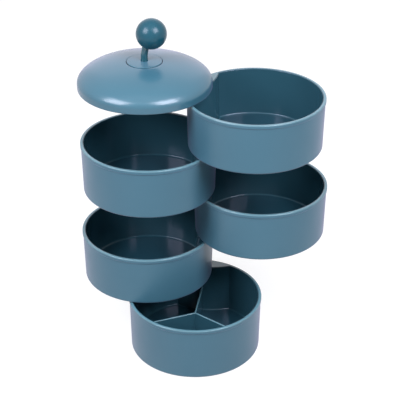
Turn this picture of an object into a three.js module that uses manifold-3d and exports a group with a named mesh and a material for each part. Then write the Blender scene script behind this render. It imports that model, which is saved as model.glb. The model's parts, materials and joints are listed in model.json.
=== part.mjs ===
// Rotating jewelry box: four round trays and a domed lid that turn about one steel shaft on a base tray.
// Millimetres, +Z up. The origin is on the table under the centre of the base tray, and the shaft stands
// on +Y of it. Each tier is drawn about the shaft with its centre on local +X, then turned to its angle.

import * as THREE from 'three'
import { mergeVertices } from 'three/addons/utils/BufferGeometryUtils.js'
import Module from 'manifold-3d'

const wasm = await Module()
wasm.setup()

const quarter = Math.PI / 2
const degree = Math.PI / 180

// Tower
const trayRadius = 50            // over the rim lip
const hingeReach = 6.7           // shaft axis to the outside of the rim
const trayHeight = 38.2
const baseHeight = 42.2
const tierGap = 0.5              // air between a rim and the tier above it
const rest = 0.05                // play where one piece lies on another
const overrun = 1                // how far every cut runs past its face

// Angles of the fanned tower, counterclockwise from +X, tray 1 on top
const baseAngle = -90 * degree
const trayAngles = [-22.5 * degree, 210 * degree, -4 * degree, 200 * degree]
const lidAngle = 199 * degree

// Tray walls
const wall = 2
const wallLean = 0.8             // how much less the radius is at the foot than under the lip
const lipReach = 0.5
const lipHeight = 3
const rimRound = 0.6
const footRound = 1.4
const floorRound = 2
const trayFloor = 2.2
const baseFloor = 3.2

// Hinge segment, the closed lens between a tray's wall and that wall's mirror image about the shaft
const segmentInset = 1.6         // the mirrored face is this much smaller than the tray
const segmentTop = 2.6
const bossRadius = 4.2
const segmentRibThickness = 1.2
const segmentRibOffset = 9

// Shaft and the rings on it
const shaftRadius = 2
const shaftPlay = 0.15
const headRadius = 3.5
const headHeight = 1.6
const headSeatDepth = 4          // from the base's underside up to its boss
const headPlay = 0.3             // round the head in its seat
const grooveDepth = 0.5
const shaftEnd = 0.8             // pin left above the clip
const shaftChamfer = 0.4
const washerRadius = 3.8
const washerPlay = 0.3           // round a washer in its seat
const washerSeat = 0.8
const footWasherThickness = 0.8

// Base pad
const padMargin = 14             // rim to pad, seen from above
const padThickness = 1.8
const padProud = 0.6
const padPlay = 0.3
const padChamfer = 0.3

// Divider
const dividerTop = 25.6          // above the table
const dividerWall = 1.2
const dividerArms = 3
const dividerPlay = 0.3

// Lid
const lidInset = 1.2             // how far the lid stays inside the trays' rims
const lidFoot = 0.8              // round of the lower edge
const lidBand = 4                // height of the upright band round the foot
const domeRise = 16              // the dome above it, a quarter of an ellipse in section
const lidShell = 2
const mouthMargin = 5            // outside of the lid to the mouth below
const ledge = 1.2
const platePlay = 0.2
const plateThickness = 2
const plateInset = 0.2
const plateChamfer = 0.4
const shelfThickness = 3
const lidRingRadius = 3.4        // washer, spring and clip on the shelf
const pocketPlay = 0.35          // round those rings
const pocketRoom = 0.4           // above the end of the shaft
const lidWasherThickness = 0.6
const springThickness = 0.3
const springWave = 0.25
const springWaves = 3
const clipThickness = 0.6
const clipMouth = 2.4

// Handle
const discRadius = 12.8
const discSeam = 0.3             // width of the dark line round the disc
const discDepth = 2.4
const discProud = 0.4            // the disc's rim above the crown
const discTaper = 0.6            // how much less its radius is at the seat
const discEdge = 0.4
const stemRadius = 2.5
const stemPlay = 0.15
const stemRise = 2               // straight part above the lid's crown
const stemBend = 7.2             // height of the bend above that
const ballRadius = 11.1
const ballRise = 20              // ball centre above the lid's crown
const ballOffset = 5.4           // and this far towards the shaft
const socketDepth = 6.5          // how far the stem goes into the ball
const seatWeb = 2.6              // lid material under the disc
const bossReach = 2
const screwRadius = 1.25
const screwPlay = 0.15
const screwLength = 8
const screwHeadRadius = 2.6
const screwHeadHeight = 1.8
const screwDome = 0.5
const handleWasherRadius = 3.6
const handleWasherThickness = 0.6

// Facets
const traySegments = 48
const discSegments = 40
const ringSegments = 16
const ballSegments = 24
const ballRings = 14
const stemArc = 6
const stemSteps = 10
const domeArc = 4
const fineArc = 2
const plainArc = 1

// Sizes that follow
const pivotOffset = trayRadius - hingeReach
const trayCount = trayAngles.length
const wallRadius = trayRadius - lipReach
const footRadius = wallRadius - wallLean
const cavityRadius = wallRadius - wall
const cavityFootRadius = footRadius - wall
const segmentRadius = trayRadius - segmentInset
const segmentWidth = 2 * hingeReach
const tierPitch = trayHeight + tierGap
const baseTop = padProud + baseHeight
const lidBottom = baseTop + tierGap + trayCount * tierPitch
const boreRadius = shaftRadius + shaftPlay
const washerThickness = washerSeat + tierGap - 2 * rest
const shelfTop = lidBottom + shelfThickness
const springBottom = shelfTop + rest + lidWasherThickness + rest
const springHeight = springThickness + 2 * springWave
const clipBottom = springBottom + springHeight + rest
const grooveHeight = clipThickness + 2 * rest
const shaftTop = clipBottom + clipThickness + shaftEnd
const pocketTop = shaftTop + pocketRoom - lidBottom
const pocketRadius = lidRingRadius + pocketPlay
const padRadius = trayRadius - padMargin
const lidRadius = trayRadius - lidInset
const lidHeight = lidBand + domeRise
const mouthRadius = lidRadius - mouthMargin
const plateRadius = mouthRadius - platePlay
const ledgeHeight = plateInset + plateThickness + rest
const seatHeight = lidHeight - discDepth
const seatUnderside = seatHeight - seatWeb

// Materials
const paint = (color, roughness, metalness) => new THREE.MeshStandardMaterial({ color, roughness, metalness })
const tealPlastic = paint(0x3d6c80, 0.5, 0)
const lidPlastic = paint(0x5a8aa0, 0.45, 0)
const handlePaint = paint(0x2f6b7c, 0.3, 0)
const steel = paint(0xb8bcc0, 0.3, 1)
const nylon = paint(0xe4e2da, 0.6, 0)
const foam = paint(0x2b2d30, 0.9, 0)

// A closed geometry as a solid: shared vertices merged, slivers at the axis dropped
function solid(geometry) {
  geometry.deleteAttribute('normal')
  geometry.deleteAttribute('uv')
  const merged = mergeVertices(geometry)
  const index = merged.getIndex().array
  const kept = []
  for (let i = 0; i < index.length; i += 3) {
    const [a, b, c] = [index[i], index[i + 1], index[i + 2]]
    if (a !== b && b !== c && c !== a) kept.push(a, b, c)
  }
  const vertProperties = new Float32Array(merged.getAttribute('position').array)
  return new wasm.Manifold(new wasm.Mesh({ numProp: 3, vertProperties, triVerts: new Uint32Array(kept) }))
}

// A profile (x is radius, y is height) turned about an upright axis at (x, 0)
function turned(profile, x, segments, arc = plainArc) {
  const geometry = new THREE.LatheGeometry(profile.getPoints(arc), segments)
  geometry.rotateX(quarter)
  geometry.translate(x, 0, 0)
  return solid(geometry)
}

function rod(radius, bottom, top, x = 0, segments = ringSegments) {
  const geometry = new THREE.CylinderGeometry(radius, radius, top - bottom, segments)
  geometry.rotateX(quarter)
  geometry.translate(x, 0, (bottom + top) / 2)
  return solid(geometry)
}

function block(width, depth, bottom, top, x, y) {
  const geometry = new THREE.BoxGeometry(width, depth, top - bottom)
  geometry.translate(x, y, (bottom + top) / 2)
  return solid(geometry)
}

function ring(inner, outer, bottom, top) {
  return rod(outer, bottom, top).subtract(rod(inner, bottom - overrun, top + overrun))
}

function named(name, body, material) {
  const { vertProperties, triVerts } = body.getMesh()
  const geometry = new THREE.BufferGeometry()
  geometry.setAttribute('position', new THREE.BufferAttribute(vertProperties, 3))
  geometry.setIndex(new THREE.BufferAttribute(triVerts, 1))
  geometry.computeVertexNormals()
  const mesh = new THREE.Mesh(geometry, material)
  mesh.name = name
  return mesh
}

// Outer form of a tray: leaning wall, rounded foot, proud lip
function trayOutside(height) {
  const profile = new THREE.Path()
  profile.moveTo(0, 0)
  profile.lineTo(footRadius - footRound, 0)
  profile.absarc(footRadius - footRound, footRound, footRound, -quarter, 0)
  profile.lineTo(wallRadius, height - lipHeight)
  profile.lineTo(trayRadius, height - lipHeight + lipReach)
  profile.absarc(trayRadius - rimRound, height - rimRound, rimRound, 0, quarter)
  profile.lineTo(0, height)
  return turned(profile, pivotOffset, traySegments)
}

// Room inside a tray: rounded floor edge and rounded inner rim
function trayCavity(height, floor) {
  const profile = new THREE.Path()
  profile.moveTo(0, floor)
  profile.lineTo(cavityFootRadius - floorRound, floor)
  profile.absarc(cavityFootRadius - floorRound, floor + floorRound, floorRound, -quarter, 0)
  profile.absarc(cavityRadius + rimRound, height - rimRound, rimRound, Math.PI, quarter, true)
  profile.lineTo(cavityRadius + rimRound, height + overrun)
  profile.lineTo(0, height + overrun)
  return turned(profile, pivotOffset, traySegments)
}

// The mirrored wall that closes the hinge segment, with its top edge rounded
function segmentFace(height) {
  const profile = new THREE.Path()
  profile.moveTo(0, 0)
  profile.lineTo(segmentRadius + wallLean, 0)
  profile.absarc(segmentRadius - rimRound, height - rimRound, rimRound, 0, quarter)
  profile.lineTo(0, height)
  return turned(profile, -pivotOffset, traySegments)
}

// Core of the segment, open below, with the shaft's boss and two ribs left standing
function segmentCore(height, bossBottom) {
  const top = height - segmentTop
  const lens = rod(cavityFootRadius, -overrun, top, pivotOffset, traySegments)
    .intersect(rod(segmentRadius - wall, -overrun, top, -pivotOffset, traySegments))
  const ribs = [-1, 1].map((side) => block(
    segmentWidth, segmentRibThickness, 0, height, 0, side * segmentRibOffset))
  return lens.subtract(rod(bossRadius, bossBottom, height)).subtract(ribs[0]).subtract(ribs[1])
}

function trayBody(height, floor, bossBottom) {
  return trayOutside(height)
    .subtract(trayCavity(height, floor).subtract(segmentFace(height)))
    .subtract(segmentCore(height, bossBottom))
    .subtract(rod(boreRadius, -overrun, height + overrun))
    .subtract(rod(washerRadius + washerPlay, height - washerSeat, height + overrun))
}

function slipWasher(height) {
  const bottom = height - washerSeat + rest
  return ring(boreRadius, washerRadius, bottom, bottom + washerThickness)
}

// Base: the taller tray with a seat for the shaft's head and a round recess for the pad
function baseTray() {
  const recessDepth = padThickness - padProud + rest
  const seatRadius = Math.max(headRadius, washerRadius) + headPlay
  return trayBody(baseHeight, baseFloor, headSeatDepth)
    .subtract(rod(seatRadius, -overrun, headSeatDepth))
    .subtract(rod(padRadius + padPlay, -overrun, recessDepth, pivotOffset, traySegments))
}

function basePad() {
  const profile = new THREE.Path()
  profile.moveTo(0, 0)
  profile.lineTo(padRadius - padChamfer, 0)
  profile.lineTo(padRadius, padChamfer)
  profile.lineTo(padRadius, padThickness)
  profile.lineTo(0, padThickness)
  return turned(profile, 0, discSegments)
}

// Divider: upright arms from the middle to the tray's leaning wall, cut round for the floor's edge
function baseDivider() {
  const bottom = padProud + baseFloor + rest
  const height = dividerTop - bottom
  const reach = cavityFootRadius - dividerPlay
  const armShape = new THREE.Shape()
  armShape.moveTo(0, 0)
  armShape.lineTo(reach - floorRound, 0)
  armShape.absarc(reach - floorRound, floorRound, floorRound, -quarter, 0)
  armShape.lineTo(reach + wallLean * (height / baseHeight), height)
  armShape.lineTo(0, height)
  let arms = null
  for (let k = 0; k < dividerArms; k += 1) {
    const geometry = new THREE.ExtrudeGeometry(armShape, {
      depth: dividerWall, bevelEnabled: false, curveSegments: fineArc })
    geometry.translate(0, 0, -dividerWall / 2)
    geometry.rotateX(quarter)
    geometry.rotateZ(quarter + k * 2 * Math.PI / dividerArms)
    geometry.translate(0, 0, bottom)
    const arm = solid(geometry)
    arms = arms ? arms.add(arm) : arm
  }
  const face = rod(segmentRadius + wallLean + dividerPlay, 0, baseTop, 0, traySegments)
  return arms.subtract(face.translate([0, 2 * pivotOffset, 0]))
}

// Headed pin with a groove for the clip near its top
function pivotShaft() {
  const headTop = padProud + headSeatDepth - 2 * rest - footWasherThickness
  const groove = clipBottom - rest
  const profile = new THREE.Path()
  profile.moveTo(0, headTop - headHeight)
  profile.lineTo(headRadius, headTop - headHeight)
  profile.lineTo(headRadius, headTop)
  profile.lineTo(shaftRadius, headTop)
  profile.lineTo(shaftRadius, groove)
  profile.lineTo(shaftRadius - grooveDepth, groove)
  profile.lineTo(shaftRadius - grooveDepth, groove + grooveHeight)
  profile.lineTo(shaftRadius, groove + grooveHeight)
  profile.lineTo(shaftRadius, shaftTop - shaftChamfer)
  profile.lineTo(shaftRadius - shaftChamfer, shaftTop)
  profile.lineTo(0, shaftTop)
  return turned(profile, 0, ringSegments)
}

function shaftWasher() {
  const top = padProud + headSeatDepth - rest
  return ring(boreRadius, washerRadius, top - footWasherThickness, top)
}

// Spring washer: a thin ring bent into waves
function springWasher() {
  const profile = new THREE.Path()
  profile.moveTo(boreRadius, 0)
  profile.lineTo(lidRingRadius, 0)
  profile.lineTo(lidRingRadius, springThickness)
  profile.lineTo(boreRadius, springThickness)
  profile.lineTo(boreRadius, 0)
  const geometry = new THREE.LatheGeometry(profile.getPoints(plainArc), 2 * ringSegments)
  geometry.rotateX(quarter)
  const place = geometry.getAttribute('position')
  for (let i = 0; i < place.count; i += 1) {
    const turn = Math.atan2(place.getY(i), place.getX(i))
    place.setZ(i, place.getZ(i) + springBottom + springWave * (1 + Math.cos(springWaves * turn)))
  }
  return solid(geometry)
}

function shaftClip() {
  const reach = lidRingRadius + overrun
  const mouth = block(reach, clipMouth, clipBottom - overrun, shaftTop, reach / 2, 0)
  return ring(shaftRadius - grooveDepth + rest, lidRingRadius, clipBottom, clipBottom + clipThickness)
    .subtract(mouth)
}

// Outline of the lid: rounded foot, upright band, elliptical dome
function lidOutside() {
  const profile = new THREE.Path()
  profile.moveTo(0, 0)
  profile.lineTo(lidRadius - lidFoot, 0)
  profile.quadraticCurveTo(lidRadius, 0, lidRadius, lidFoot)
  profile.absellipse(0, lidBand, lidRadius, domeRise, 0, quarter)
  return turned(profile, pivotOffset, traySegments, domeArc)
}

// Room under the lid above the ledge that the plate lies against
function lidCavity() {
  const radius = mouthRadius - ledge
  const reach = lidRadius - lidShell
  const start = Math.acos(radius / reach)
  const profile = new THREE.Path()
  profile.moveTo(0, ledgeHeight - overrun)
  profile.lineTo(radius, ledgeHeight - overrun)
  profile.absellipse(0, lidBand, reach, domeRise - lidShell, start, quarter)
  return turned(profile, pivotOffset, traySegments, fineArc)
}

function lidDome() {
  const shelf = rod(segmentRadius, -2 * overrun, shelfThickness, -pivotOffset, traySegments)
  const seat = rod(discRadius + discSeam + bossReach, seatUnderside, lidHeight, pivotOffset, discSegments)
  const room = rod(mouthRadius, -overrun, ledgeHeight, pivotOffset, traySegments)
    .add(lidCavity())
    .subtract(shelf)
    .subtract(seat)
  const recess = rod(discRadius + discSeam, seatHeight, lidHeight + overrun, pivotOffset, discSegments)
  return lidOutside()
    .subtract(room)
    .subtract(recess)
    .subtract(rod(screwRadius + screwPlay, seatUnderside - overrun, lidHeight, pivotOffset))
    .subtract(rod(boreRadius, -overrun, pocketTop))
    .subtract(rod(pocketRadius, shelfThickness, pocketTop))
}

function lidPlate() {
  const profile = new THREE.Path()
  profile.moveTo(0, plateInset)
  profile.lineTo(plateRadius - plateChamfer, plateInset)
  profile.lineTo(plateRadius, plateInset + plateChamfer)
  profile.lineTo(plateRadius, plateInset + plateThickness)
  profile.lineTo(0, plateInset + plateThickness)
  const bite = mouthRadius - plateRadius + segmentRadius
  return turned(profile, pivotOffset, traySegments)
    .subtract(rod(bite, 0, lidHeight, -pivotOffset, traySegments))
}

// Disc let into the dome, a little proud of it, with a softened rim and a side that tapers to the seat
function handleDisc() {
  const bottom = seatHeight + rest
  const crownDrop = domeRise * (1 - Math.sqrt(1 - (discRadius / lidRadius) ** 2))
  const rimHeight = lidHeight - crownDrop + discProud
  const profile = new THREE.Path()
  profile.moveTo(0, bottom)
  profile.lineTo(discRadius - discTaper, bottom)
  profile.absarc(discRadius - discEdge, rimHeight - discEdge, discEdge, 0, quarter)
  profile.lineTo(0, lidHeight + discProud)
  return turned(profile, pivotOffset, discSegments)
    .subtract(rod(stemRadius + stemPlay, seatHeight - overrun, lidHeight + overrun, pivotOffset))
}

// Centre line of the stem: straight up out of the disc, then bent towards the shaft into the ball
function stemLine(extra) {
  const foot = new THREE.Vector3(pivotOffset, 0, seatHeight + rest)
  const start = new THREE.Vector3(pivotOffset, 0, lidHeight + stemRise)
  const corner = new THREE.Vector3(pivotOffset, 0, lidHeight + stemRise + stemBend)
  const ball = ballCentre()
  const end = ball.clone().sub(corner).setLength(ball.distanceTo(corner) - ballRadius + socketDepth + extra)
  const line = new THREE.CurvePath()
  line.add(new THREE.LineCurve3(foot, start))
  line.add(new THREE.QuadraticBezierCurve3(start, corner, corner.clone().add(end)))
  return line
}

function ballCentre() {
  return new THREE.Vector3(pivotOffset - ballOffset, 0, lidHeight + ballRise)
}

function stemTube(radius, extra) {
  const section = new THREE.Shape()
  section.absarc(0, 0, radius, 0, 2 * Math.PI)
  return solid(new THREE.ExtrudeGeometry(section, {
    steps: stemSteps, curveSegments: stemArc, extrudePath: stemLine(extra), bevelEnabled: false }))
}

function handleStem() {
  const holeTop = seatUnderside + screwLength + screwPlay
  return stemTube(stemRadius, 0)
    .subtract(rod(screwRadius + screwPlay, seatHeight - overrun, holeTop, pivotOffset))
}

function handleBall() {
  const geometry = new THREE.SphereGeometry(ballRadius, ballSegments, ballRings)
  geometry.rotateX(quarter)
  const centre = ballCentre()
  geometry.translate(centre.x, centre.y, centre.z)
  return solid(geometry).subtract(stemTube(stemRadius + stemPlay, stemPlay))
}

function handleWasher() {
  const top = seatUnderside - rest
  return ring(screwRadius + screwPlay, handleWasherRadius, top - handleWasherThickness, top)
    .translate([pivotOffset, 0, 0])
}

function handleScrew() {
  const seat = seatUnderside - 2 * rest - handleWasherThickness
  const profile = new THREE.Path()
  profile.moveTo(0, seat - screwHeadHeight)
  profile.lineTo(screwHeadRadius - screwDome, seat - screwHeadHeight)
  profile.lineTo(screwHeadRadius, seat - screwHeadHeight + screwDome)
  profile.lineTo(screwHeadRadius, seat)
  profile.lineTo(screwRadius, seat)
  profile.lineTo(screwRadius, seatUnderside + screwLength)
  profile.lineTo(0, seatUnderside + screwLength)
  return turned(profile, pivotOffset, ringSegments)
}

// A tier: its pieces about the shaft, at its height and angle
function tier(bottom, angle, meshes) {
  const group = new THREE.Group()
  group.position.set(0, pivotOffset, bottom)
  group.rotation.z = angle
  group.add(...meshes)
  return group
}

const tower = new THREE.Group()
tower.add(tier(padProud, baseAngle, [
  named('base_tray', baseTray(), tealPlastic),
  named('base_washer', slipWasher(baseHeight), nylon),
]))
tower.add(named('base_pad', basePad(), foam))
tower.add(named('base_divider', baseDivider(), tealPlastic))

const tray = trayBody(trayHeight, trayFloor, 0)
trayAngles.forEach((angle, k) => {
  tower.add(tier(lidBottom - (k + 1) * tierPitch, angle, [
    named(`tray_${k + 1}`, tray, tealPlastic),
    named(`tier_washer_${k + 1}`, slipWasher(trayHeight), nylon),
  ]))
})

tower.add(tier(lidBottom, lidAngle, [
  named('lid_dome', lidDome(), lidPlastic),
  named('lid_plate', lidPlate(), tealPlastic),
  named('handle_disc', handleDisc(), lidPlastic),
  named('handle_stem', handleStem(), handlePaint),
  named('handle_ball', handleBall(), handlePaint),
  named('handle_washer', handleWasher(), steel),
  named('handle_screw', handleScrew(), steel),
]))

const lidWasherBottom = shelfTop + rest
tower.add(tier(0, baseAngle, [
  named('pivot_shaft', pivotShaft(), steel),
  named('shaft_washer', shaftWasher(), steel),
  named('lid_washer', ring(boreRadius, lidRingRadius, lidWasherBottom,
    lidWasherBottom + lidWasherThickness), nylon),
  named('lid_spring_washer', springWasher(), steel),
  named('shaft_clip', shaftClip(), steel),
]))

export default tower
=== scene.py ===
# Looks of a rotating jewelry box: smooth moulded trays, a domed lid and a ball handle round one shaft.
# Shapes are worked out in millimetres about the shaft, then set at the place that the frame gives.
import json
import math

import bmesh
import bpy
from mathutils import Matrix, Vector


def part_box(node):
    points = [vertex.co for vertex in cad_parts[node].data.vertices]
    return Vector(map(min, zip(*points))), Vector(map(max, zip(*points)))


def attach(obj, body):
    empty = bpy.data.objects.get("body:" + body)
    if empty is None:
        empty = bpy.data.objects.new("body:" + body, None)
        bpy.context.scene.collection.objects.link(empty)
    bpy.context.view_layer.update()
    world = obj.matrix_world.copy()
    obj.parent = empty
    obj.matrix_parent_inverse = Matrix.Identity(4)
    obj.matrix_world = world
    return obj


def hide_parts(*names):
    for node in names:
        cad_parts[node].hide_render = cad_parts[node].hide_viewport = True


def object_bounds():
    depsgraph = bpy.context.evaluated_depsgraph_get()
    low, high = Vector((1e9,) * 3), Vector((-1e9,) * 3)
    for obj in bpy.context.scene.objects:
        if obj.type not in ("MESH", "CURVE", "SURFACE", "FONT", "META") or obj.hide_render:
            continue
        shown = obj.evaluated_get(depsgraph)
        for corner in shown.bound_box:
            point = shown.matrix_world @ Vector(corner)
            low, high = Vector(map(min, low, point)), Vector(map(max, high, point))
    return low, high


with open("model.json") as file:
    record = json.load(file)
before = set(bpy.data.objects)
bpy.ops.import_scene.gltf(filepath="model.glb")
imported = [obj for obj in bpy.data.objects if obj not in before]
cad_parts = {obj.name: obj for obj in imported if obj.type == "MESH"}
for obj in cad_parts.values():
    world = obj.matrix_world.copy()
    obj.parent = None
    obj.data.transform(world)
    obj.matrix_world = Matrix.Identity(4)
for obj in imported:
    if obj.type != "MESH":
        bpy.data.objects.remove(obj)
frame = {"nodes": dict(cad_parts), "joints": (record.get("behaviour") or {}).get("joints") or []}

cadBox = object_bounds()
scene = bpy.context.scene
millimetre = 0.001     # in the scene's metres
quarter = math.pi / 2  # a right angle
white = (1, 1, 1, 1)
black = (0, 0, 0, 1)


# Camera, at the photograph's viewing angle

viewpoint = {
    "place": (129.3, -823.7, 588.4),   # mm
    "heading": 8.67,                   # degrees, counterclockwise seen from above
    "pitch": 29.13,                    # degrees below level
    "lens": 118.5,
    "sensor": 36,
}


def makeCamera(view):
    data = bpy.data.cameras.new("photoCamera")
    data.lens = view["lens"]
    data.sensor_width = view["sensor"]
    data.sensor_fit = "HORIZONTAL"
    camera = bpy.data.objects.new("photoCamera", data)
    camera.location = Vector(view["place"]) * millimetre
    camera.rotation_euler = (quarter - math.radians(view["pitch"]), 0, math.radians(view["heading"]))
    scene.collection.objects.link(camera)
    scene.camera = camera


makeCamera(viewpoint)
print("camera set")


# Shader helpers

class Socket:
    # one output of a node; arithmetic on it adds Math nodes
    def __init__(self, tree, output):
        self.tree = tree
        self.output = output

    def math(self, operation, first, second):
        return Graph(self.tree).add("Math", {"operation": operation}, {0: first, 1: second})

    def __add__(self, other):
        return self.math("ADD", self, other)

    __radd__ = __add__

    def __sub__(self, other):
        return self.math("SUBTRACT", self, other)

    def __rsub__(self, other):
        return self.math("SUBTRACT", other, self)

    def __mul__(self, other):
        return self.math("MULTIPLY", self, other)

    __rmul__ = __mul__


class Graph:
    # the nodes of one material or of the world
    def __init__(self, tree):
        self.tree = tree

    def plug(self, target, value):
        if isinstance(value, Socket):
            self.tree.links.new(value.output, target)
        else:
            target.default_value = value

    def add(self, kind, settings=None, inputs=None, output=0):
        node = self.tree.nodes.new("ShaderNode" + kind)
        for key, value in (settings or {}).items():
            if key == "stops":
                self.setStops(node.color_ramp, value)
            else:
                setattr(node, key, value)
        for key, value in (inputs or {}).items():
            self.plug(node.inputs[key], value)
        return Socket(self.tree, node.outputs[output])

    def setStops(self, ramp, stops):
        for element, (place, shade) in zip(ramp.elements, stops):
            element.position = place
            element.color = (shade, shade, shade, 1)

    def blend(self, factor, first, second):
        # two colours; a Mix node keeps its colours at inputs 6 and 7
        return self.add("Mix", {"data_type": "RGBA"}, {0: factor, 6: first, 7: second}, 2)


class Finish(Graph):
    # a material and its Principled shader
    def __init__(self, name):
        self.material = bpy.data.materials.new(name)
        self.material.use_nodes = True
        super().__init__(self.material.node_tree)
        self.shader = self.tree.nodes["Principled BSDF"]

    def set(self, **values):
        for key, value in values.items():
            self.plug(self.shader.inputs[key.replace("_", " ")], value)

    def place(self):
        return self.add("TexCoord", output="Object")

    def drawnOut(self, place, share):
        # a pattern read at this place runs long upwards
        return self.add("Mapping", {}, {"Vector": place, "Scale": (1, 1, share)})

    def noise(self, place, scale, detail=2, roughness=0.5):
        inputs = {"Vector": place, "Scale": scale, "Detail": detail, "Roughness": roughness}
        return self.add("TexNoise", {}, inputs)

    def bump(self, strength, height, depth=millimetre):
        return self.add("Bump", {}, {"Strength": strength, "Distance": depth, "Height": height})

    def tones(self, factor, look):
        return self.blend(factor, linear(look["colour"]), linear(look["deep"]))


def linear(code):
    # a colour written as its screen code, such as "4f7d92"
    parts = [int(code[k:k + 2], 16) / 255 for k in (0, 2, 4)]
    return tuple(p / 12.92 if p < 0.04045 else ((p + 0.055) / 1.055) ** 2.4 for p in parts) + (1,)


# Moulded plastic: pigment that varies a little, a soft bloom of handling, and the mould's fine grain

paleLavender = (0.86, 0.86, 1, 1)
trayOutsideFinish = {"colour": "447180", "deep": "3f6c7b", "rough": 0.4, "roughSpread": 0.06,
                     "specular": 0.6, "gloss": white, "sheen": 0.35, "grain": 1600, "relief": 0.03}
# the inside's colour is darker than the outside's: painted shade; its lower roughness is the real polish
trayInsidePaintedShadeFinish = {"colour": "305662", "deep": "2b515c", "rough": 0.15, "roughSpread": 0.02,
                    "specular": 0.5, "gloss": paleLavender, "sheen": 0, "grain": 900, "relief": 0.004}
# the floor's colour is darker still: painted shade on the floor; its gloss is real
trayFloorPaintedShadeFinish = {"colour": "274a56", "deep": "234551", "rough": 0.13, "roughSpread": 0.03,
                   "specular": 0.7, "gloss": paleLavender, "sheen": 0, "grain": 900, "relief": 0.004}
# the rim's colour is lighter than the walls': a painted highlight along the rims
rimPaintedHighlightFinish = {"colour": "628a93", "deep": "5c848d", "rough": 0.2, "roughSpread": 0.02,
             "specular": 0.7, "gloss": white, "sheen": 0.05, "grain": 1600, "relief": 0.005}
lidFinish = {"colour": "3f6e7d", "deep": "3a6978", "rough": 0.25, "roughSpread": 0.02,
             "specular": 0.7, "gloss": white, "sheen": 0.26, "grain": 1600, "relief": 0.01}
ballFinish = {"colour": "1a5361", "deep": "184e5c", "rough": 0.26, "roughSpread": 0.01,
              "specular": 0.36, "gloss": white, "sheen": 0.02, "grain": 300, "relief": 0}
stemFinish = {"colour": "0a525e", "deep": "094d59", "rough": 0.14, "roughSpread": 0.02,
              "specular": 0.9, "gloss": white, "sheen": 0, "grain": 1200, "relief": 0}
mouldMarks = {
    "cloud": 34, "cloudDetail": 3, "cloudRoughness": 0.55,       # broad changes of tone
    "grainRoughness": 0.6, "grainShare": 0.4,
    "flow": 150, "flowStretch": 0.12,                            # faint streaks, the way the plastic flowed
    "flowTone": 0.1, "flowRelief": 0.35,
    "bloom": ((0.35, 0), (0.7, 1)),                              # from clean to handled
    "sheenRough": 0.35, "sheenTint": (0.78, 0.5, 1, 1),
}


def mouldedPlastic(name, look):
    marks = mouldMarks
    finish = Finish(name)
    place = finish.place()
    cloud = finish.noise(place, marks["cloud"], marks["cloudDetail"], marks["cloudRoughness"])
    grain = finish.noise(place, look["grain"], roughness=marks["grainRoughness"])
    flow = finish.noise(finish.drawnOut(place, marks["flowStretch"]), marks["flow"])
    pigment = finish.tones(cloud, look)
    pigment = finish.blend(marks["flowTone"] * flow, pigment, linear(look["deep"]))
    bloom = finish.add("ValToRGB", {"stops": marks["bloom"]}, {"Fac": cloud})
    handled = bloom - 0.5 + marks["grainShare"] * (grain - 0.5)     # about zero
    if look["relief"]:
        finish.set(Normal=finish.bump(look["relief"], grain + marks["flowRelief"] * flow))
    finish.set(Base_Color=pigment, Roughness=look["rough"] + look["roughSpread"] * handled,
               Specular_IOR_Level=look["specular"], Specular_Tint=look["gloss"],
               Sheen_Weight=look["sheen"], Sheen_Roughness=marks["sheenRough"], Sheen_Tint=marks["sheenTint"])
    return finish.material


# Bright drawn steel, closed-cell foam and natural nylon

steelFinish = {"colour": "b9bcc0", "deep": "9fa3a8", "rough": 0.21, "smear": 220, "smearRough": 0.16,
               "lines": 5200, "lineRoughness": 0.6, "lineStretch": 0.02, "relief": 0.04}
foamFinish = {"colour": "232529", "deep": "16181b", "rough": 0.88, "roughSpread": 0.08,
              "cells": 1500, "cellDepth": 0.3, "relief": 0.35}
nylonFinish = {"colour": "dedbd0", "deep": "d3cfc2", "rough": 0.5, "roughSpread": 0.1,
               "grain": 1400, "relief": 0.05}


def drawnSteel(name, look):
    finish = Finish(name)
    place = finish.place()
    drawn = finish.drawnOut(place, look["lineStretch"])
    lines = finish.noise(drawn, look["lines"], roughness=look["lineRoughness"])
    smear = finish.noise(place, look["smear"])
    finish.set(Base_Color=finish.tones(lines, look), Metallic=1,
               Roughness=look["rough"] + look["smearRough"] * smear, Normal=finish.bump(look["relief"], lines))
    return finish.material


def closedCellFoam(name, look):
    finish = Finish(name)
    cells = finish.add("TexVoronoi", {}, {"Vector": finish.place(), "Scale": look["cells"]})
    relief = finish.bump(look["relief"], 1 - cells, look["cellDepth"] * millimetre)
    finish.set(Base_Color=finish.tones(cells, look), Roughness=look["rough"] + look["roughSpread"] * cells,
               Normal=relief)
    return finish.material


def naturalNylon(name, look):
    finish = Finish(name)
    grain = finish.noise(finish.place(), look["grain"])
    finish.set(Base_Color=finish.tones(grain, look), Normal=finish.bump(look["relief"], grain),
               Roughness=look["rough"] + look["roughSpread"] * (grain - 0.5))
    return finish.material


satinTeal = mouldedPlastic("satinTeal", trayOutsideFinish)
polishedTealPaintedShade = mouldedPlastic("polishedTealPaintedShade", trayInsidePaintedShadeFinish)
rimTealPaintedHighlight = mouldedPlastic("rimTealPaintedHighlight", rimPaintedHighlightFinish)
floorTealPaintedShade = mouldedPlastic("floorTealPaintedShade", trayFloorPaintedShadeFinish)   # the mould's flat face is polished brightest; its darker colour is painted shade on the floor
trayFinishes = (satinTeal, polishedTealPaintedShade, rimTealPaintedHighlight, floorTealPaintedShade)
outside, inside, atRim, onFloor = range(len(trayFinishes))   # a tray's bands, by their numbers in that list
lidTeal = mouldedPlastic("lidTeal", lidFinish)
ballTeal = mouldedPlastic("ballTeal", ballFinish)
stemTeal = mouldedPlastic("stemTeal", stemFinish)
steel = drawnSteel("drawnSteel", steelFinish)
foam = closedCellFoam("closedCellFoam", foamFinish)
nylon = naturalNylon("naturalNylon", nylonFinish)
print("finishes made")


# Mesh helpers. A loop is a list of points in millimetres, and a loft joins loops of one length.

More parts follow.
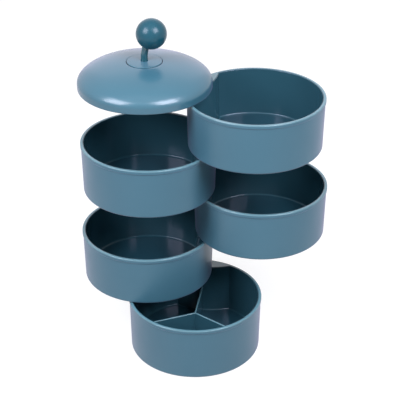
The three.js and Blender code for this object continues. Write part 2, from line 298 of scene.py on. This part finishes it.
mesher = {
    "turn": 208, "inset": 44,          # points round a tier's outline, and along the bite in it
    "cut": 240, "bore": 64,            # sides of a large cutter and of a small one
    "arc": 6, "smallArc": 4,           # steps of a rounding
    "support": 0.15, "crisp": 0.1,     # from a rounding, or a sharp corner, to the point beside it
    "lead": 2,                         # from a rounding to a corner that only steers it
    "capRing": 9,                      # from a wall in to the ring of a cap
    "over": 1,                         # how far a cutter passes what it cuts
    "crease": math.radians(32),
}
over = mesher["over"]
touch = 0.05                           # air between faces that lie on each other


def loft(name, loops, bands=None, closed=False):
    # bands are material numbers, one for each strip between two loops; a cap takes the nearest one
    bands = bands or [0] * len(loops)
    work = bmesh.new()
    rings = [[work.verts.new(Vector(p) * millimetre) for p in loop] for loop in loops]
    above = rings[1:] + (rings[:1] if closed else [])
    for band, low, high in zip(bands, rings, above):
        for k in range(len(low)):
            n = (k + 1) % len(low)
            work.faces.new((low[k], low[n], high[n], high[k])).material_index = band
    if not closed:
        work.faces.new(rings[0]).material_index = bands[0]
        work.faces.new(rings[-1]).material_index = bands[-1]
    bmesh.ops.recalc_face_normals(work, faces=work.faces)
    mesh = bpy.data.meshes.new(name)
    work.to_mesh(mesh)
    work.free()
    piece = bpy.data.objects.new(name, mesh)
    scene.collection.objects.link(piece)
    return piece


def combine(piece, tool, operation="DIFFERENCE"):
    change = piece.modifiers.new("change", "BOOLEAN")
    change.solver = "EXACT"
    change.operation = operation
    change.object = tool
    graph = bpy.context.evaluated_depsgraph_get()
    mesh = bpy.data.meshes.new_from_object(piece.evaluated_get(graph))
    piece.modifiers.clear()
    old = piece.data
    piece.data = mesh
    bpy.data.meshes.remove(old)
    bpy.data.objects.remove(tool)
    return piece


def dress(piece, *materials):
    bands = [face.material_index for face in piece.data.polygons]   # clearing the materials would lose them
    piece.data.materials.clear()
    for material in materials:
        piece.data.materials.append(material)
    piece.data.polygons.foreach_set("material_index", bands)
    piece.data.shade_smooth()
    piece.data.set_sharp_from_angle(angle=mesher["crease"])


def install(piece, place, body, node):
    piece.data.transform(place)
    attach(piece, body)
    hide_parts(node)


def rounded(corners, arc=mesher["arc"]):
    # a path through corners (x, z, radius), each rounded by an arc with a support point on either side
    path = []
    last = len(corners) - 1
    for i, (x, z, radius) in enumerate(corners):
        here = Vector((x, z))
        if radius == 0 or i in (0, last):
            path.append(here)
            continue
        back = (Vector(corners[i - 1][:2]) - here).normalized()
        ahead = (Vector(corners[i + 1][:2]) - here).normalized()
        half = back.angle(ahead) / 2
        reach = radius / math.tan(half)
        centre = here + (back + ahead).normalized() * radius / math.sin(half)
        start = here + back * reach - centre
        end = here + ahead * reach - centre
        turn = math.atan2(start.x * end.y - start.y * end.x, start.dot(end))
        path.append(centre + start + back * mesher["support"])
        for k in range(arc + 1):
            path.append(centre + Matrix.Rotation(turn * k / arc, 2) @ start)
        path.append(centre + end + ahead * mesher["support"])
    return path


def arcPath(x, z, width, rise, start, end, count):
    # part of an ellipse about (x, z)
    turns = [start + (end - start) * k / count for k in range(count + 1)]
    return [Vector((x + width * math.cos(a), z + rise * math.sin(a))) for a in turns]


def around(count):
    return [2 * math.pi * k / count for k in range(count)]


def turned(name, path, x, sides, closed=False):
    # a path turned about the upright axis at x
    loops = [[(x + p[0] * math.cos(a), p[0] * math.sin(a), p[1]) for a in around(sides)] for p in path]
    return loft(name, loops, closed=closed)


def rod(radius, bottom, top, x=0, sides=mesher["bore"]):
    return turned("rod", [(radius, bottom), (radius, top)], x, sides)


def slab(width, depth, bottom, top, y):
    signs = ((-1, -1), (1, -1), (1, 1), (-1, 1))
    corners = [(sx * width / 2, y + sy * depth / 2) for sx, sy in signs]
    return loft("slab", [[corner + (z,) for corner in corners] for z in (bottom, top)])


# Tiers. Each has its own frame: the shaft at the origin, and its centre towards +X.

tower = {"trays": 4, "radius": 50, "hingeReach": 6.7, "trayHeight": 38.2, "baseHeight": 42.2}
trayWall = {"wall": 2, "lean": 0.8, "rim": 0.6, "foot": 1.4, "footRing": 4,
            "lipReach": 0.5, "lipHeight": 3, "lipRound": 0.2, "lipFillet": 0.3,
            "floorRound": 1.2, "trayFloor": 2.2, "baseFloor": 3.2}
hinge = {"inset": 1.6, "top": 2.6, "boss": 4.2, "rib": 1.2, "ribOffset": 9, "bore": 2.15,
         "washer": 4.1, "washerSeat": 0.8, "headRadius": 3.8, "headPlay": 0.3, "headSeat": 4}

offset = tower["radius"] - tower["hingeReach"]      # shaft to a tray's centre
wallRadius = tower["radius"] - trayWall["lipReach"]
footRadius = wallRadius - trayWall["lean"]
cavityFoot = footRadius - trayWall["wall"]
mirrorTop = tower["radius"] - hinge["inset"]        # the hinge segment's inner face, about the mirrored centre
mirrorFoot = mirrorTop + trayWall["lean"]
shaftAt = Vector(frame["joints"][0]["pos_m"])


def cornerAngle(radius, mirror):
    # from the side of the shaft to where the wall meets the segment's face, about the tray's centre
    span = 2 * offset
    return math.acos((span ** 2 + radius ** 2 - mirror ** 2) / (2 * span * radius))


def bittenLoop(radius, mirror, z):
    # the tray's circle less the mirrored circle: the outline of the room inside
    corner = cornerAngle(radius, mirror)
    sweep = 2 * (math.pi - corner)
    points = []
    for k in range(mesher["turn"]):
        a = corner - math.pi + sweep * k / mesher["turn"]
        points.append((offset + radius * math.cos(a), radius * math.sin(a), z))
    start = math.asin(radius * math.sin(corner) / mirror)
    for k in range(mesher["inset"]):
        b = start * (1 - 2 * k / mesher["inset"])
        points.append((mirror * math.cos(b) - offset, mirror * math.sin(b), z))
    return points


def wholeLoop(radius, corner, z):
    # a full circle whose points answer those of a bitten loop
    sweep = 2 * (math.pi - corner)
    turns = [corner - math.pi + sweep * k / mesher["turn"] for k in range(mesher["turn"])]
    turns += [math.pi - corner + 2 * corner * k / mesher["inset"] for k in range(mesher["inset"])]
    return [(offset + radius * math.cos(a), radius * math.sin(a), z) for a in turns]


def hingeCore(height, bossBottom):
    # the room in the segment, open below, round the shaft's boss and two ribs
    top = height - hinge["top"]
    core = rod(cavityFoot, -over, top, offset, mesher["cut"])
    mirrored = rod(mirrorTop - trayWall["wall"], -2 * over, top + over, -offset, mesher["cut"])
    combine(core, mirrored, "INTERSECT")
    combine(core, rod(hinge["boss"], bossBottom, height))
    for side in (-1, 1):
        combine(core, slab(2 * tower["hingeReach"], hinge["rib"], -3 * over, height, side * hinge["ribOffset"]))
    return core


def trayPiece(name, height, floor, bossBottom):
    rim = trayWall["rim"]
    lipFoot = height - trayWall["lipHeight"]
    inner = rounded([       # x from the wall's face outwards
        (-mesher["capRing"], floor, 0),
        (0, floor, trayWall["floorRound"]),
        (0, height, rim),
        (mesher["lead"], height, 0)])[:-1]
    outer = rounded([       # x from the tray's centre
        (tower["radius"] - 2 * rim, height, 0),
        (tower["radius"], height, rim),
        (tower["radius"], lipFoot + trayWall["lipReach"], trayWall["lipRound"]),
        (wallRadius, lipFoot, trayWall["lipFillet"]),
        (footRadius, 0, trayWall["foot"]),
        (footRadius - trayWall["footRing"], 0, 0)])[1:]
    loops = []
    for x, z in inner:
        lean = trayWall["lean"] * z / height
        loops.append(bittenLoop(cavityFoot + lean + x, mirrorFoot - lean - x, z))
    corner = cornerAngle(cavityFoot + trayWall["lean"] + rim, mirrorTop - rim)
    loops += [wholeLoop(x, corner, z) for x, z in outer]
    flat = 2                                         # strips of the floor, up to its fillet, in the darker colour of painted shade
    walls = len(inner) - 1 - flat                    # up the inside and over the rounding of the rim; their darker colour is painted shade
    paintedHighlightStrips = mesher["arc"] + 3                       # the rim's flat and its outer rounding, lighter in colour: a painted highlight
    plain = len(loops) - 1 - flat - walls - paintedHighlightStrips
    tray = loft(name, loops, [onFloor] * flat + [inside] * walls + [atRim] * paintedHighlightStrips + [outside] * plain)
    dress(tray, *trayFinishes)
    combine(tray, hingeCore(height, bossBottom))
    combine(tray, rod(hinge["bore"], -over, height + over))
    combine(tray, rod(hinge["washer"], height - hinge["washerSeat"], height + over))
    return tray


def tierPlace(node):
    # where a tier stands: turned about the shaft so that its own +X points to its centre
    low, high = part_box(node)
    middle = (low + high) / 2
    angle = math.atan2(middle.y - shaftAt.y, middle.x - shaftAt.x)
    return Matrix.Translation((shaftAt.x, shaftAt.y, low.z)) @ Matrix.Rotation(angle, 4, "Z")


def makeTrays():
    pattern = trayPiece("trayPattern", tower["trayHeight"], trayWall["trayFloor"], 0)
    dress(pattern, *trayFinishes)
    for number in range(1, tower["trays"] + 1):
        tray = f"tray_{number}"
        copy = bpy.data.objects.new(f"{tray}_moulding", pattern.data.copy())
        scene.collection.objects.link(copy)
        install(copy, tierPlace(tray), tray, tray)
    bpy.data.objects.remove(pattern)


makeTrays()
print("trays made")


# Base: the taller tray, recessed below for the pad and the head of the shaft

pad = {"radius": 36, "thickness": 1.8, "proud": 0.6, "play": 0.3, "edge": 0.3, "edgeArc": 3,
       "sides": 160, "recessSides": 192}

basePlace = tierPlace("base_tray")


def makeBase():
    base = trayPiece("base_moulding", tower["baseHeight"], trayWall["baseFloor"], hinge["headSeat"])
    recess = pad["thickness"] - pad["proud"] + touch
    combine(base, rod(hinge["headRadius"] + hinge["headPlay"], -over, hinge["headSeat"]))
    combine(base, rod(pad["radius"] + pad["play"], -over, recess, offset, pad["recessSides"]))
    dress(base, *trayFinishes)
    install(base, basePlace, "base", "base_tray")


def makePad():
    radius = pad["radius"]
    top = pad["thickness"]
    path = rounded([(radius / 2, 0, 0), (radius, 0, pad["edge"]), (radius, top, 0)], pad["edgeArc"])
    path.append(Vector((radius / 2, top)))
    piece = turned("pad_disc", path, offset, pad["sides"])
    dress(piece, foam)
    drop = Matrix.Translation((0, 0, -pad["proud"] * millimetre))
    install(piece, drop @ basePlace, "base", "base_pad")


makeBase()
makePad()
print("base made")


# Divider: three thin arms with softened edges, one of them towards the shaft

divider = {"arms": 3, "thickness": 1.2, "round": 0.35, "roundArc": 4, "play": 0.3}


def armLoops(height, reach, lean):
    half = divider["thickness"] / 2
    soft = divider["round"]
    turns = [quarter * k / divider["roundArc"] for k in range(divider["roundArc"] + 1)]
    levels = [(soft * (1 - math.sin(a)), -half + soft * (1 - math.cos(a))) for a in turns]
    levels += [(inset, -across) for inset, across in reversed(levels)]
    fillet = trayWall["floorRound"]
    loops = []
    for inset, across in levels:
        bend = fillet - inset
        outline = [(0, inset)]
        for k in range(mesher["arc"] + 1):
            a = quarter * k / mesher["arc"]
            outline.append((reach - fillet + bend * math.sin(a), fillet - bend * math.cos(a)))
        outline += [(reach + lean - inset, height - inset), (0, height - inset)]
        loops.append([(x, across, z) for x, z in outline])
    return loops


def makeDivider():
    low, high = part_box("base_divider")
    height = (high.z - low.z) / millimetre
    reach = cavityFoot - divider["play"]
    lean = trayWall["lean"] * height / tower["baseHeight"]
    joined = None
    for turn in around(divider["arms"]):
        arm = loft("divider_arms", armLoops(height, reach, lean))
        arm.data.transform(Matrix.Rotation(math.pi + turn, 4, "Z"))
        arm.data.transform(Matrix.Translation((offset * millimetre, 0, 0)))
        joined = combine(joined, arm, "UNION") if joined else arm
    combine(joined, rod(mirrorFoot + divider["play"], -over, height + over, -offset, mesher["cut"]))
    for face in joined.data.polygons:      # the rounded top edges take the rims' lighter colour, a painted highlight
        face.material_index = int(face.center.z > (height - divider["round"]) * millimetre)
    dress(joined, polishedTealPaintedShade, rimTealPaintedHighlight)
    lift = Matrix.Translation((0, 0, low.z - basePlace.translation.z))
    install(joined, lift @ basePlace, "base", "base_divider")


makeDivider()
print("divider made")


# Lid: an elliptical dome on an upright band, a mouth below and a shelf that closes the hinge segment.
# The handle's disc is let into its crown, and a screw holds the handle from inside.

lid = {"inset": 1.2, "foot": 0.8, "footArc": 6, "band": 4, "rise": 16, "crownArc": 34,
       "shell": 2, "shellArc": 12, "poleGap": 0.01, "shelf": 3, "pocketRadius": 3.75, "pocketTop": 6.35,
       "mouthMargin": 5, "mouthRound": 0.4, "ledge": 1.2, "web": 2.6, "bossReach": 2, "roomSides": 96}
plate = {"inset": 0.2, "thickness": 2, "play": 0.2, "lowRound": 0.4, "topRound": 0.2}
disc = {"radius": 12.8, "seam": 0.3, "seamRound": 0.3, "seamArc": 5, "depth": 2.4, "proud": 0.4, "taper": 0.6,
        "footRound": 0.2, "edgeRound": 0.4, "edgeArc": 5, "sides": 128,
        "crownRings": (9, 6.5),                 # from the axis
        "stemRings": (0.9, 0.4),                # from the stem's hole
        "eased": ((0.1, 0.08), (0, 0.3))}       # out from the hole, and below the crown
screw = {"radius": 1.25, "play": 0.15, "length": 8, "spare": 0.15, "webSides": 32, "stemSides": 24}

lidRadius = tower["radius"] - lid["inset"]
lidHeight = lid["band"] + lid["rise"]
mouthRadius = lidRadius - lid["mouthMargin"]
plateTop = plate["inset"] + plate["thickness"]
ledgeHeight = plateTop + touch
seatHeight = lidHeight - disc["depth"]
seatUnderside = seatHeight - lid["web"]
screwHole = screw["radius"] + screw["play"]
lidPlace = tierPlace("lid_dome")


def crownHeight(radius):
    return lid["band"] + lid["rise"] * math.sqrt(1 - (radius / lidRadius) ** 2)


def domePath(recess):
    # from the disc's seat over the crown and down to the foot
    crisp = mesher["crisp"]
    soft = disc["seamRound"]
    edge = recess + soft
    foot = lid["foot"]
    path = [Vector((recess / 2, seatHeight)), Vector((recess - crisp, seatHeight))]
    path += [Vector((recess, seatHeight)), Vector((recess, seatHeight + crisp))]
    path += arcPath(edge, crownHeight(edge) - soft, soft, soft, math.pi, quarter, disc["seamArc"])
    crownStart = math.acos(edge / lidRadius)
    path += arcPath(0, lid["band"], lidRadius, lid["rise"], crownStart, 0, lid["crownArc"])[1:]
    path.append(Vector((lidRadius, foot + mesher["support"])))
    path += arcPath(lidRadius - foot, foot, foot, foot, 0, -quarter, lid["footArc"])
    path.append(Vector((lidRadius - foot - mesher["support"], 0)))
    return path


def lidRoom(recess):
    # the hollow under the crown, less the hinge's shelf and the boss under the disc
    reach = lidRadius - lid["shell"]
    rise = lid["rise"] - lid["shell"]
    radius = mouthRadius - lid["ledge"]
    bottom = ledgeHeight - over
    path = [Vector((radius / 2, bottom)), Vector((radius, bottom))]
    path += arcPath(0, lid["band"], reach, rise, math.acos(radius / reach), quarter - lid["poleGap"],
                    lid["shellArc"])
    room = turned("room", path, offset, lid["roomSides"])
    combine(room, rod(mirrorTop, -over, lid["shelf"], -offset, mesher["cut"]))
    boss = rod(recess + lid["bossReach"], seatUnderside, lidHeight + over, offset, lid["roomSides"])
    return combine(room, boss)


def makeLid():
    recess = disc["radius"] + disc["seam"]
    corner = cornerAngle(mouthRadius, mirrorTop)
    loops = [wholeLoop(x, corner, z) for x, z in domePath(recess)]
    mouth = rounded([(mesher["lead"], 0, 0), (0, 0, lid["mouthRound"]), (0, ledgeHeight, 0),
                     (-mesher["capRing"], ledgeHeight, 0)], mesher["smallArc"])
    loops += [bittenLoop(mouthRadius + x, mirrorTop - x, z) for x, z in mouth[1:]]
    dome = loft("lid_moulding", loops)
    combine(dome, lidRoom(recess))
    combine(dome, rod(hinge["bore"], -over, lid["pocketTop"]))
    combine(dome, rod(lid["pocketRadius"], lid["shelf"], lid["pocketTop"]))
    combine(dome, rod(screwHole, seatUnderside - over, lidHeight, offset, screw["webSides"]))
    dress(dome, lidTeal)
    install(dome, lidPlace, "lid", "lid_dome")


def makePlate():
    radius = mouthRadius - plate["play"]
    bite = mirrorTop + plate["play"]
    low = plate["inset"]
    path = rounded([(-mesher["capRing"], low, 0), (0, low, plate["lowRound"]), (0, plateTop, plate["topRound"]),
                    (-mesher["capRing"], plateTop, 0)], mesher["smallArc"])
    piece = loft("lid_underplate", [bittenLoop(radius + x, bite - x, z) for x, z in path])
    dress(piece, satinTeal)
    install(piece, lidPlace, "lid", "lid_plate")


makeLid()
makePlate()
print("lid made")


# Handle: let-in disc, bent stem and ball

stem = {"radius": 2.5, "play": 0.15, "rise": 2, "bend": 7.2, "ease": 0.2, "straight": 1.5,
        "steps": 20, "sides": 40}
ball = {"radius": 11.1, "rise": 20, "offset": 5.4, "socket": 6.5, "rings": 64, "sides": 128}

stemHole = stem["radius"] + stem["play"]
stemFoot = seatHeight + touch
ballCentre = Vector((offset - ball["offset"], 0, lidHeight + ball["rise"]))


def stemPoint(share, extra):
    # along the bend: from straight up towards the ball's centre
    start = Vector((offset, 0, lidHeight + stem["rise"]))
    corner = start + Vector((0, 0, stem["bend"]))
    toBall = ballCentre - corner
    end = corner + toBall.normalized() * (toBall.length - ball["radius"] + ball["socket"] + extra)
    point = (1 - share) ** 2 * start + 2 * share * (1 - share) * corner + share ** 2 * end
    heading = (1 - share) * (corner - start) + share * (end - corner)
    return point, heading.normalized()


def stemPiece(name, radius, extra):
    # extra lengthens the end inside the ball
    levels = (stemFoot, stemFoot + stem["ease"], lidHeight, lidHeight + stem["straight"])
    stations = [(Vector((offset, 0, z)), Vector((0, 0, 1))) for z in levels]
    stations += [stemPoint(k / stem["steps"], extra) for k in range(stem["steps"] + 1)]
    across = Vector((0, 1, 0))
    turns = around(stem["sides"])
    loops = []
    for point, heading in stations:
        side = heading.cross(across).normalized()
        loops.append([point + radius * (math.cos(a) * across + math.sin(a) * side) for a in turns])
    return loft(name, loops)


def makeDisc():
    radius = disc["radius"]
    inner = radius - mesher["lead"]
    proud = disc["proud"]
    path = rounded([(stemHole, stemFoot, 0), (radius - disc["taper"], stemFoot, disc["footRound"]),
                    (radius, crownHeight(radius) + proud, disc["edgeRound"]),
                    (inner, crownHeight(inner) + proud, 0)], disc["edgeArc"])
    rings = list(disc["crownRings"]) + [stemHole + out for out in disc["stemRings"]]
    path += [Vector((ring, crownHeight(ring) + proud)) for ring in rings]
    top = crownHeight(stemHole) + proud
    path += [Vector((stemHole + out, top - drop)) for out, drop in disc["eased"]]
    inlay = turned("handle_inlay", path, offset, disc["sides"], closed=True)
    dress(inlay, lidTeal)
    install(inlay, lidPlace, "lid", "handle_disc")


def makeStem():
    piece = stemPiece("handle_rod", stem["radius"], 0)
    holeTop = seatUnderside + screw["length"] + screw["spare"]
    combine(piece, rod(screwHole, stemFoot - over, holeTop, offset, screw["stemSides"]))
    dress(piece, stemTeal)
    install(piece, lidPlace, "lid", "handle_stem")


def makeBall():
    radius = ball["radius"]
    steps = [math.pi * (k + 0.5) / ball["rings"] - quarter for k in range(ball["rings"])]
    profile = [(radius * math.cos(a), radius * math.sin(a)) for a in steps]
    piece = turned("handle_knob", profile, 0, ball["sides"])
    piece.data.transform(Matrix.Translation(ballCentre * millimetre))
    combine(piece, stemPiece("socket", stemHole, stem["play"]))
    dress(piece, ballTeal)
    install(piece, lidPlace, "lid", "handle_ball")


makeDisc()
makeStem()
makeBall()
print("handle made")


# Rings, shaft, clip and screw keep their solids and get their materials

steelNodes = ("pivot_shaft", "shaft_washer", "shaft_clip", "lid_spring_washer", "handle_washer", "handle_screw")
tierWashers = tuple(f"tier_washer_{number}" for number in range(1, tower["trays"] + 1))
nylonNodes = ("base_washer", "lid_washer") + tierWashers

for material, nodes in ((steel, steelNodes), (nylon, nylonNodes)):
    for node in nodes:
        solid = frame["nodes"][node].data
        solid.materials.clear()
        solid.materials.append(material)
print("metal and nylon parts dressed")


# Floor, backdrop and light

studio = {"floor": "8c8c8c", "floorRough": 0.9, "floorSpecular": 0.1, "floorGlow": 0.84,
          "floorSize": 8,                       # metres
          "world": (0.17, 0.17, 0.18, 1)}
coolWhite = (0.84, 0.86, 1)
boxes = {   # bearing in degrees from the camera's, rise above level, size and distance in metres
    "left": {"bearing": -55, "rise": 40, "size": 0.58, "distance": 1.1, "power": 11.6, "tint": coolWhite},
    "right": {"bearing": 43, "rise": 45.8, "size": 0.58, "distance": 1.1, "power": 12.8, "tint": coolWhite},
    "top": {"bearing": -8, "rise": 70, "size": 1.2, "distance": 1.4, "power": 1.9, "tint": (1, 1, 1)},
    "back": {"bearing": 180, "rise": 20, "size": 1.4, "distance": 1.6, "power": 2.4, "tint": (0.88, 0.84, 1)},
}


def shownToCamera(graph):
    # 1 for what the camera, a reflection or clear plastic sees, 0 for what only gives light
    camera = graph.add("LightPath", output="Is Camera Ray")
    glossy = graph.add("LightPath", output="Is Glossy Ray")
    through = graph.add("LightPath", output="Is Transmission Ray")
    return camera + glossy + through


def makeFloor():
    half = studio["floorSize"] / 2
    corners = [(-half, -half, 0), (half, -half, 0), (half, half, 0), (-half, half, 0)]
    mesh = bpy.data.meshes.new("floor")
    mesh.from_pydata(corners, [], [(0, 1, 2, 3)])
    floor = bpy.data.objects.new("floor", mesh)
    scene.collection.objects.link(floor)
    finish = Finish("paleFloor")
    glow = finish.blend(studio["floorGlow"] * shownToCamera(finish), black, white)
    finish.set(Base_Color=linear(studio["floor"]), Roughness=studio["floorRough"],
               Specular_IOR_Level=studio["floorSpecular"], Emission_Color=glow, Emission_Strength=1)
    mesh.materials.append(finish.material)


def makeWorld():
    world = bpy.data.worlds.new("studioWorld")
    world.use_nodes = True
    scene.world = world
    sky = Graph(world.node_tree)
    tone = sky.blend(shownToCamera(sky), studio["world"], white)
    sky.plug(sky.tree.nodes["Background"].inputs["Color"], tone)


def makeBox(name, box):
    data = bpy.data.lights.new(name, "AREA")
    data.energy = box["power"]
    data.size = box["size"]
    data.color = box["tint"]
    lamp = bpy.data.objects.new(name, data)
    heading = math.radians(viewpoint["heading"] + box["bearing"])
    rise = math.radians(box["rise"])
    away = Vector((math.sin(heading) * math.cos(rise), -math.cos(heading) * math.cos(rise), math.sin(rise)))
    aim = (cadBox[0] + cadBox[1]) / 2
    lamp.location = aim + away * box["distance"]
    lamp.rotation_euler = away.to_track_quat("Z", "Y").to_euler()
    scene.collection.objects.link(lamp)


makeFloor()
makeWorld()
for side, box in boxes.items():
    makeBox(f"{side}Box", box)
scene.view_settings.view_transform = "Standard"
print("studio lit")
